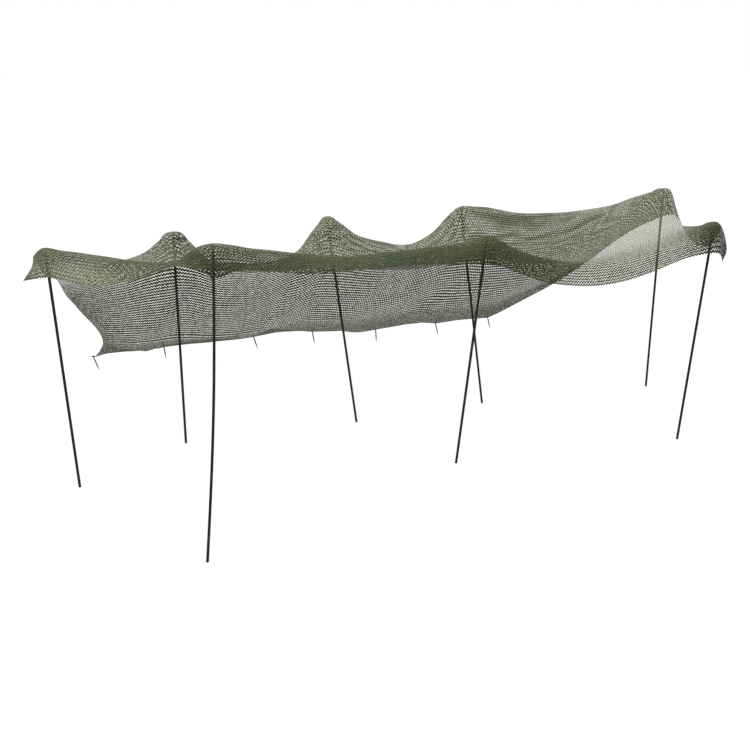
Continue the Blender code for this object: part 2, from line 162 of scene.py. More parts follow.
# column, how far the canopy hangs below a straight run from front fold to back ridge
CANOPY_BELLY = [
    (0, 0.00), (3, 0.06), (8, 0.11), (11, 0.16), (14, 0.25), (18, 0.31), (22, 0.34),
    (26, 0.41), (30, 0.48), (34, 0.34), (38, 0.18), (42, 0.06), (46, 0.00),
]

# hang of the cloth between those lines
PULL = 1.0                     # tension between neighbouring panel corners
STIFFNESS = 0.6                # resistance to folding sharply
WEIGHT = 0.012                 # sag under its own weight
LINE_HOLD = 40.0               # how closely the hems and ridges are followed
CROWN_HOLD = 30.0              # how closely the rounding over a pole is followed
RIGHT_FOLD_HOLD = 20.0         # how closely the fold between the right end poles is followed
FOLD_REACH = 0.105             # how far the first row stands out in front of a pole
CANOPY_HOLD = 0.30             # how closely the canopy's belly is followed
SLOPE_HOLD = 0.25              # how closely the back slope is followed
SLOPE_SLACK = 0.52             # 0 is a straight slope, 1 is a deep hanging curve
SLOPE_BEND = 4.0               # how soon the hanging curve falls
SLOPE_STEPS = 201              # points at which a slope line is measured
TAUT_COLUMNS = 8.0             # columns from the right side in which the slope is pulled straighter
TAUT_SHARE = 0.3               # share of the slack that is left there


def smooth_line(table, count):
    """Smooth curve through a table, one point per panel corner."""
    rows = np.array(table, dtype=float)
    knots = rows[:, 0]
    points = rows[:, 1:4]
    slopes = np.zeros_like(points)
    slopes[1:-1] = (points[2:] - points[:-2]) / (knots[2:] - knots[:-2])[:, None]
    slopes[0] = (points[1] - points[0]) / (knots[1] - knots[0])
    slopes[-1] = (points[-1] - points[-2]) / (knots[-1] - knots[-2])
    at = np.arange(count + 1, dtype=float)
    span = np.clip(np.searchsorted(knots, at, side="right") - 1, 0, len(knots) - 2)
    width = (knots[span + 1] - knots[span])[:, None]
    u = (at - knots[span])[:, None] / width
    out = (2 * u ** 3 - 3 * u ** 2 + 1) * points[span]
    out = out + (u ** 3 - 2 * u ** 2 + u) * width * slopes[span]
    out = out + (-2 * u ** 3 + 3 * u ** 2) * points[span + 1]
    out = out + (u ** 3 - u ** 2) * width * slopes[span + 1]
    return out


def slope_line(top, bottom, slack):
    """Hanging curve from the ridge to the pegged hem, evenly spaced by length."""
    part = np.linspace(0.0, 1.0, SLOPE_STEPS)
    fall = (1.0 - slack) * part
    fall = fall + slack * (1.0 - np.exp(-SLOPE_BEND * part)) / (1.0 - math.exp(-SLOPE_BEND))
    line = top + (bottom - top) * part[:, None]
    line[:, 2] = top[2] + (bottom[2] - top[2]) * fall
    steps = np.linalg.norm(np.diff(line, axis=0), axis=1)
    length = np.concatenate([[0.0], np.cumsum(steps)])
    even = np.linspace(0.0, length[-1], NET_ROWS - RIDGE_ROW + 1)
    return np.stack([np.interp(even, length, line[:, k]) for k in range(3)], axis=1)


def slope_goals(goal, hold, ridge, pegged):
    """Goals of the back slope, between the ridge and the pegged hem."""
    for i in range(NET_COLUMNS + 1):
        taut = min(1.0, max(TAUT_SHARE, (NET_COLUMNS - i) / TAUT_COLUMNS))
        line = slope_line(ridge[i], pegged[i], SLOPE_SLACK * taut)
        for j in range(RIDGE_ROW + 1, NET_ROWS):
            goal[i, j] = line[j - RIDGE_ROW]
            hold[i, j] = SLOPE_HOLD


def canopy_goals(goal, hold, fold, ridge):
    """Goals of the canopy, which bellies down between the front fold and the ridge."""
    belly = np.array(CANOPY_BELLY)
    for i in range(NET_COLUMNS + 1):
        depth = np.interp(i, belly[:, 0], belly[:, 1])
        for j in range(FOLD_ROW + 1, RIDGE_ROW):
            part = (j - FOLD_ROW) / (RIDGE_ROW - FOLD_ROW)
            goal[i, j] = fold[i] + (ridge[i] - fold[i]) * part
            goal[i, j, 2] -= 4.0 * depth * part * (1.0 - part)
            hold[i, j] = CANOPY_HOLD


def line_goals(goal, hold, fold, ridge, pegged):
    """Goals of the hems, the front fold, the ridge and the fold between the right end poles."""
    hem = smooth_line(FRONT_HEM, NET_COLUMNS)
    left = smooth_line(LEFT_HEM, NET_ROWS)
    right = smooth_line(RIGHT_HEM, NET_ROWS)
    for i in range(NET_COLUMNS + 1):
        for j, line in ((FOLD_ROW, fold), (0, hem), (RIDGE_ROW, ridge), (NET_ROWS, pegged)):
            goal[i, j] = line[i]
            hold[i, j] = LINE_HOLD
    table = np.array(RIGHT_FOLD)
    for j in range(FOLD_ROW, RIDGE_ROW + 1):
        for k in range(3):
            goal[RIGHT_FOLD_COLUMN, j, k] = np.interp(j, table[:, 0], table[:, k + 1])
        hold[RIGHT_FOLD_COLUMN, j] = RIGHT_FOLD_HOLD
    for j in range(NET_ROWS + 1):
        goal[0, j] = left[j]
        goal[NET_COLUMNS, j] = right[j]
        hold[0, j] = LINE_HOLD
        hold[NET_COLUMNS, j] = LINE_HOLD


def pin_net(goal, hold, pegged):
    """Corners that poles and pegs hold, by number, with the rounding over each pole."""
    rows = NET_ROWS + 1
    pinned = {}
    for pole in POLES:
        x, y, z, i, j = pole[3:8]
        to_left, to_right, to_front, to_back = pole[9:]
        for di, dj, lower in ((-1, 0, to_left), (1, 0, to_right), (0, -1, to_front), (0, 1, to_back)):
            goal[i + di, j + dj, 2] = z - lower
            hold[i + di, j + dj, 2] = CROWN_HOLD
        if j == FOLD_ROW:
            goal[i, j - 1, :2] = (x, y - FOLD_REACH)
            hold[i, j - 1, :2] = CROWN_HOLD
        pinned[i * rows + j] = (x, y, z)
    for peg in PEGS:
        column = peg[1]
        pinned[column * rows + NET_ROWS] = tuple(pegged[column])
    return pinned


def cloth_matrix():
    """Pull and stiffness between all panel corners, numbered column by column."""
    rows = NET_ROWS + 1
    total = (NET_COLUMNS + 1) * rows
    matrix = np.zeros((total, total))

    def link(nodes, factors, strength):
        nodes = np.array(nodes)
        factors = np.array(factors)
        for node, factor in zip(nodes, factors):
            matrix[node, nodes] += strength * factor * factors

    for i in range(NET_COLUMNS + 1):
        for j in range(rows):
            n = i * rows + j
            if i < NET_COLUMNS:
                link([n, n + rows], [1.0, -1.0], PULL)
            if j < NET_ROWS:
                link([n, n + 1], [1.0, -1.0], PULL)
            if 0 < i < NET_COLUMNS:
                link([n - rows, n, n + rows], [1.0, -2.0, 1.0], STIFFNESS)
            if 0 < j < NET_ROWS:
                link([n - 1, n, n + 1], [1.0, -2.0, 1.0], STIFFNESS)
    return matrix


def hang_net():
    """Corner positions of every net panel: array [column, row, xyz]."""
    shape = (NET_COLUMNS + 1, NET_ROWS + 1, 3)
    goal = np.zeros(shape)
    hold = np.zeros(shape)
    fold = smooth_line(FRONT_FOLD, NET_COLUMNS)
    ridge = smooth_line(BACK_RIDGE, NET_COLUMNS)
    pegged = smooth_line(PEG_HEM, NET_COLUMNS)
    slope_goals(goal, hold, ridge, pegged)
    canopy_goals(goal, hold, fold, ridge)
    line_goals(goal, hold, fold, ridge, pegged)
    pinned = pin_net(goal, hold, pegged)
    matrix = cloth_matrix()
    total = len(matrix)
    fixed = np.array(sorted(pinned))
    free = np.setdiff1d(np.arange(total), fixed)
    corners = np.zeros((total, 3))
    corners[fixed] = np.array([pinned[n] for n in fixed])
    goal = goal.reshape(total, 3)
    hold = hold.reshape(total, 3)
    load = np.zeros((total, 3))
    load[:, 2] = -WEIGHT
    for k in range(3):
        system = matrix + np.diag(hold[:, k])
        right_side = load[:, k] + hold[:, k] * goal[:, k]
        right_side = right_side[free] - system[np.ix_(free, fixed)] @ corners[fixed, k]
        corners[free, k] = np.linalg.solve(system[np.ix_(free, free)], right_side)
    return np.round(corners.reshape(shape), CORNER_DECIMALS)


def corner_normals(grid):
    """Unit normal at every panel corner, upward side of the cloth."""
    along = np.gradient(grid, axis=0)
    across = np.gradient(grid, axis=1)
    normal = np.cross(along, across)
    return normal / np.linalg.norm(normal, axis=2, keepdims=True)


# ---------------------------------------------------------------- fine cloth surface
FINE = 8                       # steps of the fine surface across one panel

# soft creases in panel units: from column, row to column, row, width, height in metres
CREASES = [
    # from the back poles down the slope
    (8.0, 13.0, 4.5, 27.0, 1.1, -0.016), (8.0, 13.5, 9.5, 28.0, 0.9, 0.014),
    (18.0, 13.0, 15.5, 27.0, 1.2, -0.018), (18.0, 13.5, 20.0, 30.0, 0.9, 0.012),
    (28.0, 13.0, 26.0, 29.0, 1.1, -0.016), (28.0, 13.5, 30.5, 30.0, 0.9, 0.014),
    (44.0, 13.0, 40.0, 28.0, 1.3, -0.018),
    # from the pegs up the slope
    (7.0, 35.5, 8.5, 25.0, 0.8, 0.016), (17.0, 35.5, 16.5, 26.0, 0.8, 0.016),
    (24.0, 35.5, 23.0, 24.0, 0.9, 0.018), (31.0, 35.5, 31.5, 25.0, 0.8, 0.016),
    (39.0, 35.5, 38.0, 26.0, 0.8, 0.014), (20.5, 35.5, 20.5, 28.0, 1.3, -0.016),
    (11.5, 35.5, 12.0, 28.0, 1.5, -0.014), (27.5, 35.5, 27.5, 28.0, 1.2, -0.014),
    (35.0, 35.5, 35.0, 28.0, 1.3, -0.014),
    # pull lines over the canopy
    (12.0, 3.0, 8.5, 11.0, 0.8, 0.014), (12.0, 3.0, 17.0, 11.0, 0.8, 0.012),
    (28.0, 3.0, 28.0, 11.0, 0.9, 0.012), (28.0, 3.0, 19.5, 10.5, 0.9, 0.010),
    (2.0, 3.0, 7.0, 11.0, 0.9, 0.012), (44.0, 3.0, 30.0, 11.0, 1.0, 0.012),
]
CREASE_START = 0.55            # width of a crease where it starts, as a share of its own
CREASE_GROWTH = 0.9            # by how much it widens along its length
CREASE_EASE = 0.8              # below 1 a crease rises quickly at its ends

# soft swells in the loose cloth: columns per wave, rows per wave, turn, height
SWELLS = [
    (5.3, 41.0, 0.4, 0.006), (3.1, 17.0, 2.1, 0.004), (9.7, 6.3, 4.0, 0.005),
    (2.2, 9.0, 1.2, 0.0025),
]

# share of creases and swells that is left at a row
CALM_ROWS = [0.0, 12.5, 14.0, 20.0, 25.0, 36.0]
CALM_SHARES = [0.25, 0.25, 1.0, 1.0, 0.25, 0.15]
# folds that keep their full height, in the same columns as the creases
FOLDS = [
    # line above the apron of the pegged hem
    (0.0, 31.0, 4.8, 25.0, 0.9, -0.034), (3.2, 25.3, 18.0, 24.6, 0.9, -0.030),
    # tight front fold beside the bowed pole
    (11.6, 2.0, 18.6, 2.0, 0.9, 0.024),
]
POLE_CALM = 1.2                # panels around a pole tip in which the relief dies away
PEG_CALM = 0.8                 # the same around a peg


def spline_sample(grid, at, axis):
    """Catmull-Rom samples of a grid along one axis."""
    grid = np.moveaxis(grid, axis, 0)
    first = 2 * grid[:1] - grid[1:2]
    last = 2 * grid[-1:] - grid[-2:-1]
    grid = np.concatenate([first, grid, last])
    base = np.clip(np.floor(at).astype(int), 0, len(grid) - 4)
    t = (at - base).reshape((-1,) + (1,) * (grid.ndim - 1))
    a, b, c, d = (grid[base + k] for k in range(4))
    out = b + 0.5 * t * (c - a + t * (2 * a - 5 * b + 4 * c - d + t * (3 * (b - c) + d - a)))
    return np.moveaxis(out, 0, axis)


def fold_height(u, v, lines):
    """Height above the smooth cloth of soft ridges and troughs along straight lines."""
    height = np.zeros_like(u)
    for u0, v0, u1, v1, width, peak in lines:
        along = np.array([u1 - u0, v1 - v0])
        length = np.hypot(*along)
        along = along / length
        s = (u - u0) * along[0] + (v - v0) * along[1]
        off = -(u - u0) * along[1] + (v - v0) * along[0]
        part = np.clip(s / length, 0.0, 1.0)
        ends = np.sin(np.pi * part) ** CREASE_EASE
        spread = width * (CREASE_START + CREASE_GROWTH * part)
        height += peak * ends * np.exp(-(off / spread) ** 2)
    return height


def crease_height(u, v):
    """Height of creases, swells and folds above the smooth cloth."""
    height = fold_height(u, v, CREASES)
    for columns, rows, turn, peak in SWELLS:
        height += peak * np.sin(2 * np.pi * (u / columns + v / rows) + turn)
    return height * np.interp(v, CALM_ROWS, CALM_SHARES) + fold_height(u, v, FOLDS)


HUNG = hang_net()
HUNG[..., 0] -= ORIGIN_X
HUNG[..., 1] -= ORIGIN_Y

# low flat crowns over pole tips: pole, half width, reach of the fall around it, share
CROWNS = [
    ("pole_b1", 0.080, 0.090, 0.90), ("pole_b2", 0.030, 0.080, 0.80), ("pole_b3", 0.030, 0.090, 0.50),
    ("pole_b4", 0.070, 0.080, 0.80), ("pole_f1", 0.060, 0.110, 0.50), ("pole_f4", 0.080, 0.080, 0.70),
]
CROWN_SAG = 1.2                # fall of a crown toward its rim, per metre squared


def raise_crowns(cloth, u, v):
    """Lift the cloth around pole tips into low flat crowns."""
    for name, half, reach, share in CROWNS:
        column, row = POLE_CORNERS[name]
        far = np.hypot((u - column) * PANEL_WIDTH, (v - row) * PANEL_LENGTH)
        part = np.clip((far - half) / reach, 0.0, 1.0)
        weight = share * (1.0 - part * part * (3.0 - 2.0 * part))
        level = cloth[column * FINE, row * FINE, 2] - CROWN_SAG * far ** 2
        cloth[..., 2] += weight * np.maximum(level - cloth[..., 2], 0.0)


def fine_cloth():
    """Fine surface and its unit normals: arrays [column step, row step, xyz]."""
    at_u = np.arange(NET_COLUMNS * FINE + 1) / FINE
    at_v = np.arange(NET_ROWS * FINE + 1) / FINE
    cloth = spline_sample(spline_sample(HUNG, at_u, 0), at_v, 1)
    u, v = np.meshgrid(at_u, at_v, indexing="ij")
    height = crease_height(u, v)
    for column, row in POLE_CORNERS.values():
        far = np.hypot(u - column, v - row)
        height *= 1.0 - np.exp(-(far / POLE_CALM) ** 2)
    for peg in PEGS:
        far = np.hypot(u - peg[1], v - NET_ROWS)
        height *= 1.0 - np.exp(-(far / PEG_CALM) ** 2)
    cloth = cloth + corner_normals(cloth) * height[..., None]
    raise_crowns(cloth, u, v)
    return cloth, corner_normals(cloth)


CLOTH, NORMALS = fine_cloth()


def on_cloth(u, v):
    """Points and normals of the fine surface at any column and row."""
    a = np.clip(u, 0.0, NET_COLUMNS) * FINE
    b = np.clip(v, 0.0, NET_ROWS) * FINE
    i = np.minimum(a.astype(int), NET_COLUMNS * FINE - 1)
    j = np.minimum(b.astype(int), NET_ROWS * FINE - 1)
    s = (a - i)[..., None]
    t = (b - j)[..., None]
    out = []
    for field in (CLOTH, NORMALS):
        low = field[i, j] * (1 - s) + field[i + 1, j] * s
        high = field[i, j + 1] * (1 - s) + field[i + 1, j + 1] * s
        out.append(low * (1 - t) + high * t)
    return out


# ---------------------------------------------------------------- knitted strands
PERIODS = 243                  # zigzags along the net
# corners of a zigzag: place in it, side of the strand's middle line
CORNERS = [(0.12, 1.0), (0.38, -1.0), (0.62, -1.0), (0.88, 1.0)]
UNEVEN_SWING = 0.08            # how much one zigzag differs from the next, as shares
UNEVEN_WIDTH = 0.08
UNEVEN_RISE = 0.20
BELLY_SHARE = 0.25             # share of a strand's thickness that lies under the cloth surface
SIDE_ROOM = 0.001              # columns between a strand's last zigzag and the side of the net
HEM_ROOM = 0.05                # rows by which the last strand may pass the pegged hem
LINK_WIDTH = 0.0045            # short yarns that tie a strand to the next
LINK_DEPTH = 0.0012
LINK_STEP = 3                  # zigzags from one link to the next
LINK_INSET = 0.35              # how far from a strand's middle a link starts, as a share of its width
LINK_LEAST = 0.006             # least length of a link, in rows
SIDE_LINK = 0.25               # zigzags between the side of the net and the turns there
# row, then in metres there: pitch of the strands, width of one, half its zigzag, its thickness
STRANDS = [
    (0.0, 0.0350, 0.0256, 0.0080, 0.0004),
    (1.2, 0.0340, 0.0256, 0.0076, 0.0004),
    (1.9, 0.0270, 0.0210, 0.0045, 0.0004),
    (3.0, 0.0270, 0.0206, 0.0045, 0.0004),
    (5.0, 0.0280, 0.0185, 0.0045, 0.0004),
    (7.0, 0.0280, 0.0178, 0.0060, 0.0004),
    (12.0, 0.0285, 0.0182, 0.0045, 0.0004),
    (13.0, 0.0320, 0.0240, 0.0050, 0.0006),
    (14.5, 0.0380, 0.0295, 0.0060, 0.0010),
    (16.0, 0.0450, 0.0358, 0.0075, 0.0010),
    (18.0, 0.0560, 0.0446, 0.0090, 0.0010),
    (20.0, 0.0690, 0.0549, 0.0105, 0.0010),
    (22.0, 0.0880, 0.0702, 0.0115, 0.0010),
    (24.5, 0.0980, 0.0812, 0.0115, 0.0010),
    (26.5, 0.0860, 0.0780, 0.0090, 0.0008),
    (30.0, 0.0660, 0.0626, 0.0055, 0.0006),
    (36.0, 0.0480, 0.0452, 0.0045, 0.0006),
]
# selvedge: strands of the front flap and the slope widen toward both sides of the net
SELVEDGE_GAIN = 0.30
SELVEDGE_REACH = 2.2           # columns
SELVEDGE_ROWS = [0.0, 3.0, 5.0, 13.0, 15.0]
SELVEDGE_SHARES = [1.0, 1.0, 0.0, 0.0, 0.40]
# fuller strands around pole tips: pole, gain
PEAK_GAINS = [("pole_b1", 0.05), ("pole_b2", 0.20), ("pole_b4", 0.14), ("pole_f4", 0.17)]
PEAK_REACH = 2.0               # panels
FULLEST = 0.95                 # widest strand as a share of the pitch
STRAND_ARRAY = np.array(STRANDS)


def strand_sizes(v):
    """Pitch, width, half zigzag and thickness at a row."""
    rows = STRAND_ARRAY[:, 0]
    return [float(np.interp(v, rows, column)) for column in STRAND_ARRAY[:, 1:].T]


def row_places():
    """Row of every knitted strand, from the front hem to the pegged hem."""
    places = []
    v = 0.5 * STRANDS[0][1] / PANEL_LENGTH
    while True:
        pitch = strand_sizes(v)[0]
        if v + 0.5 * pitch / PANEL_LENGTH > NET_ROWS + HEM_ROOM:
            return places
        places.append(v)
        v += pitch / PANEL_LENGTH


# how far a strand's zigzag is moved along from the one before it, in zigzags, by row
TWILL = [(4.0, 0.0), (5.5, 0.67), (11.0, 0.67), (12.0, 0.0)]


def phases(places):
    """Start of every strand's zigzag, as a share of a zigzag."""
    steps = np.interp(places, [row for row, step in TWILL], [step for row, step in TWILL])
    return np.cumsum(steps) % 1.0


def strand_line(v0, phase, rng):
    """Middle line of one zigzag strand: columns, rows and half width of each point."""
    pitch, width, swing = strand_sizes(v0)[:3]
    start = np.arange(PERIODS)[:, None] + phase
    place = np.array([c[0] for c in CORNERS])[None, :]
    side = np.array([c[1] for c in CORNERS])[None, :] * np.ones((PERIODS, 1))
    u = np.minimum(((start + place) * NET_COLUMNS / PERIODS).ravel(), NET_COLUMNS - SIDE_ROOM)
    reach = swing * (1.0 + UNEVEN_SWING * rng.standard_normal((PERIODS, 1)))
    v = (v0 + side * reach / PANEL_LENGTH).ravel()
    u = np.concatenate([[0.0], u, [float(NET_COLUMNS)]])
    v = np.concatenate([[v0], v, [v0]])
    from_side = np.minimum(u, NET_COLUMNS - u)
    gain = SELVEDGE_GAIN * float(np.interp(v0, SELVEDGE_ROWS, SELVEDGE_SHARES))
    gain = 1.0 + gain * np.exp(-(from_side / SELVEDGE_REACH) ** 2)
    for name, share in PEAK_GAINS:
        column, row = POLE_CORNERS[name]
        far = ((u - column) ** 2 + (v0 - row) ** 2) / PEAK_REACH ** 2
        gain = gain + share * np.exp(-far)
    gain = np.minimum(gain, FULLEST * pitch / width)
    half = 0.5 * width / PANEL_LENGTH * gain * (1.0 + UNEVEN_WIDTH * rng.standard_normal(len(u)))
    return u, v, half


# painted shade along the rows, darkest on the front hem that hangs facing forward, and patches of
# painted light and shade: column, row, reach in each, gain
PAINTED_LIGHTNESS_ROWS = [(0.0, 0.26), (0.8, 0.36), (1.6, 0.48), (2.6, 0.62), (4.5, 1.0), (12.0, 1.0),
             (14.0, 0.8), (36.0, 0.7)]
PAINTED_LIGHT_PATCHES = [
    (4.6, 0.0, 3.0, 0.9, 6.10), (5.5, 1.8, 2.6, 1.4, 0.20), (40.0, 1.9, 4.0, 0.9, 0.10),
    (36.0, 0.2, 6.0, 0.9, -0.45), (45.2, 1.0, 1.6, 1.5, -0.24), (0.6, 1.0, 1.5, 1.2, 0.80),
    (22.0, 1.0, 6.0, 2.0, 0.08), (29.5, 1.2, 3.0, 1.5, 0.10), (19.0, 8.5, 3.0, 2.5, 0.10),
    (29.5, 9.0, 3.0, 3.0, 0.16), (41.0, 9.5, 2.6, 2.4, 0.10), (9.0, 10.0, 2.0, 2.2, -0.08),
    (18.0, 12.0, 2.5, 2.5, 0.16), (43.5, 11.0, 2.5, 2.5, 0.10),
]
# where the dye is mossy: column, row, reach in each, share
MOSS_PATCHES = [(35.5, 0.3, 6.5, 1.7, 1.0)]


def far_from(u, v, column, row, reach_u, reach_v):
    """Squared distance of places on the net from the middle of a patch, in its reaches."""
    return ((u - column) / reach_u) ** 2 + ((v - row) / reach_v) ** 2


def painted_lightness(u, v):
    """Share of the yarn's colour at places on the net: painted shade below 1, painted light above 1.
    """
    share = np.interp(v, [row for row, value in PAINTED_LIGHTNESS_ROWS], [value for row, value in PAINTED_LIGHTNESS_ROWS])
    for *patch, gain in PAINTED_LIGHT_PATCHES:
        share = share * (1.0 + gain * np.exp(-far_from(u, v, *patch)))
    return share


def moss(u, v):
    """Share of the mossy colour at places on the net."""
    share = np.zeros_like(u)
    for *patch, peak in MOSS_PATCHES:
        share = share + peak * np.exp(-far_from(u, v, *patch) ** 2)
    return np.minimum(share, 1.0)


class Builder:
    """Vertices, faces and flat coordinates of one piece of the net."""

    def __init__(self, first_v, last_v):
        self.first_v = first_v
        self.span = last_v - first_v
        self.vertices = []
        self.flat = []
        self.faces = []
        self.outer = []
        self.lightness_marks = []
        self.mosses = []
        self.smooth = []
        self.count = 0

    def add_points(self, points, u, v):
        """Vertices at places on the net; returns the number of the first."""
        start = self.count
        self.vertices.append(points.reshape(-1, 3))
        self.flat.append(np.stack([np.ravel(u) / NET_COLUMNS,
                                   (np.ravel(v) - self.first_v) / self.span], axis=1))
        self.count += points.size // 3
        return start

    def add_faces(self, quads, outer, smooth, u, v):
        """Quads at places on the net; a repeated last corner marks a triangle."""
        self.faces.append(quads)
        # painted light and shade of every face
        self.lightness_marks.append(painted_lightness(u, v))
        self.mosses.append(moss(u, v))
        self.outer.append(np.full(len(quads), float(outer)))
        self.smooth.append(np.full(len(quads), smooth))

    def strand(self, v0, phase, rng):
        """Closed ribbon with a low ridge along its outer side."""
        u, v, half = strand_line(v0, phase, rng)
        thickness = strand_sizes(v0)[3] * (1.0 + UNEVEN_RISE * rng.standard_normal(len(u)))
        points = []
        rows = []
        for share, level in ((-1, -BELLY_SHARE), (0, 1.0 - BELLY_SHARE), (1, -BELLY_SHARE)):
            point, normal = on_cloth(u, v + share * half)
            points.append(point + normal * (level * thickness)[:, None])
            rows.append(v + share * half)
        start = self.add_points(np.stack(points, axis=1), np.repeat(u, 3), np.stack(rows, axis=1))
        a = start + 3 * np.arange(len(u) - 1)
        for p, q, outer in ((0, 1, True), (1, 2, True), (2, 0, False)):
            quads = np.stack([a + p, a + 3 + p, a + 3 + q, a + q], axis=1)
            self.add_faces(quads, outer, outer, u[:-1], v[:-1])
        last = start + 3 * (len(u) - 1)
        caps = [[start, start + 1, start + 2, start + 2], [last + 2, last + 1, last, last]]
        self.add_faces(np.array(caps), False, False, u[:2], v[:2])

    def blocks(self, u0, v0, u1, v1, width):
        """Thin four-sided yarns from one place on the cloth to another, all closed."""
        a, up_a = on_cloth(u0, v0)
        b, up_b = on_cloth(u1, v1)
        along = b - a
        across = np.cross(up_a, along)
        across /= np.linalg.norm(across, axis=1, keepdims=True)
        points = np.stack([a - across * width / 2, a + across * width / 2,
                           b - up_b * LINK_DEPTH / 2, b + up_b * LINK_DEPTH / 2], axis=1)
        v = np.stack([v0, v0, v1, v1], axis=1)
        start = self.add_points(points, np.stack([u0, u0, u1, u1], axis=1), v)
        k = start + 4 * np.arange(len(u0))
        for p, q, r, outer in ((0, 1, 3, True), (0, 2, 1, False), (0, 3, 2, True), (1, 2, 3, True)):
            quads = np.stack([k + p, k + q, k + r, k + r], axis=1)
            self.add_faces(quads, outer, False, u0, v0)

    def links(self, v0, v1, phase, next_phase, shift):
        """Short yarns between the strands at rows v0 and v1, and their turns at the sides."""
        width, swing = strand_sizes(v0)[1:3]
        next_width, next_swing = strand_sizes(v1)[1:3]
        period = NET_COLUMNS / PERIODS
        start = (np.arange(shift, PERIODS, LINK_STEP) + 1.0 + phase) * period
        low = np.full_like(start, v0 + (swing + LINK_INSET * width) / PANEL_LENGTH)
        high = np.full_like(start, v1 - (next_swing + LINK_INSET * next_width) / PANEL_LENGTH)
        high = np.maximum(high, low + LINK_LEAST)
        end = start + (0.5 + next_phase - phase) % 1.0 * period
        keep = (start > 0.0) & (end < NET_COLUMNS)
        self.blocks(start[keep], low[keep], end[keep], high[keep], LINK_WIDTH)
        sides = np.array([SIDE_LINK * period, NET_COLUMNS - SIDE_LINK * period])
        self.blocks(sides, np.full(2, v0), sides, np.full(2, v1), 2 * LINK_WIDTH)


def link_object(name, data):
    """New object of some data, in the scene."""
    obj = bpy.data.objects.new(name, data)
    bpy.context.scene.collection.objects.link(obj)
    return obj


# flat map: inner faces lie in its lower half, outer faces in its upper half
FLAT_SPAN = 0.48
FLAT_MARGIN = 0.01
FLAT_UPPER = 0.50


def mesh_object(name, built, material):
    """Object of a built piece, with its flat map, the painted light and shade, the moss and the outer
    side of every face.
    """
    quads = np.concatenate(built.faces).astype(np.int32)
    triangle = quads[:, 2] == quads[:, 3]
    sizes = np.where(triangle, 3, 4).astype(np.int32)
    used = np.ones(quads.shape, bool)
    used[:, 3] = ~triangle
    loops = quads[used]
    starts = np.concatenate([[0], np.cumsum(sizes)[:-1]]).astype(np.int32)
    outer = np.concatenate(built.outer)
    vertices = np.concatenate(built.vertices)
    mesh = bpy.data.meshes.new(name)
    mesh.vertices.add(len(vertices))
    mesh.vertices.foreach_set("co", vertices.astype(np.float32).ravel())
    mesh.loops.add(len(loops))
    mesh.loops.foreach_set("vertex_index", loops)
    mesh.polygons.add(len(sizes))
    mesh.polygons.foreach_set("loop_start", starts)
    mesh.polygons.foreach_set("use_smooth", np.concatenate(built.smooth))
    flat = np.concatenate(built.flat)[loops]
    upper = np.repeat(outer, sizes) > 0.5
    flat[:, 1] = np.clip(flat[:, 1], 0.0, 1.0) * FLAT_SPAN + FLAT_MARGIN + FLAT_UPPER * upper
    layer = mesh.uv_layers.new(name="OFBake")
    layer.data.foreach_set("uv", flat.astype(np.float32).ravel())
    # the second mark carries the painted light and shade
    marks = (("outer", outer), ("painted_lightness", np.concatenate(built.lightness_marks)),
             ("moss", np.concatenate(built.mosses)))
    for mark, values in marks:
        layer = mesh.attributes.new(mark, "FLOAT", "FACE")
        layer.data.foreach_set("value", values.astype(np.float32))
    mesh.materials.append(material)
    mesh.update(calc_edges=True)
    return link_object(name, mesh)


# ---------------------------------------------------------------- materials
def new_material(name):
    """Empty material, its node tree and its shader."""
    mat = bpy.data.materials.new(name)
    mat.use_nodes = True
    tree = mat.node_tree
    return mat, tree, tree.nodes["Principled BSDF"]


def node(tree, kind, inputs=None, **settings):
    """New node; an input is another node's socket or a plain value."""
    item = tree.nodes.new(kind)
    for key, value in settings.items():
        setattr(item, key, value)
    for key, value in (inputs or {}).items():
        if isinstance(value, bpy.types.NodeSocket):
            tree.links.new(value, item.inputs[key])
        else:
            item.inputs[key].default_value = value
    return item


NOISE_ROUGHNESS = 0.55
NOISE_SPAN = (0.3, 0.7)        # values that most of a noise lies between


def noise(tree, coords, scale, detail):
    """Value of a noise at every place."""
    item = node(tree, "ShaderNodeTexNoise", {"Vector": coords, "Scale": scale, "Detail": detail,
                                             "Roughness": NOISE_ROUGHNESS})
    return item.outputs["Fac"]


def ramp(tree, value, stops):
    """Colour along a value: place and colour of each stop."""
    item = node(tree, "ShaderNodeValToRGB", {"Fac": value})
    points = item.color_ramp.elements
    while len(points) < len(stops):
        points.new(0.5)
    for point, (place, colour) in zip(points, stops):
        point.position = place
        point.color = (*colour, 1.0)
    return item.outputs["Color"]


def mix(tree, fac, a, b, blend="MIX"):
    """Colour a mixed with or multiplied by colour b."""
    item = node(tree, "ShaderNodeMix", data_type="RGBA", blend_type=blend)
    for key, value in (("Factor", fac), ("A", a), ("B", b)):
        socket = next(s for s in item.inputs if s.name == key and s.enabled)
        if isinstance(value, bpy.types.NodeSocket):
            tree.links.new(value, socket)
        else:
            socket.default_value = value
    return next(s for s in item.outputs if s.enabled)


def value_map(tree, value, low, high, to_low, to_high):
    """Value carried over from one span to another."""
    item = node(tree, "ShaderNodeMapRange", {"Value": value, "From Min": low, "From Max": high,
                                             "To Min": to_low, "To Max": to_high})
    return item.outputs["Result"]


def surface(tree, coords, shader, rough, bump):
    """Uneven roughness (noise scale, detail, from, to) and bump (scale, detail, strength, depth)."""
    scale, detail, smoothest, roughest = rough
    value = value_map(tree, noise(tree, coords, scale, detail), *NOISE_SPAN, smoothest, roughest)
    tree.links.new(value, shader.inputs["Roughness"])
    scale, detail, strength, depth = bump
    height = noise(tree, coords, scale, detail)
    item = node(tree, "ShaderNodeBump", {"Height": height, "Strength": strength, "Distance": depth})
    tree.links.new(item.outputs["Normal"], shader.inputs["Normal"])


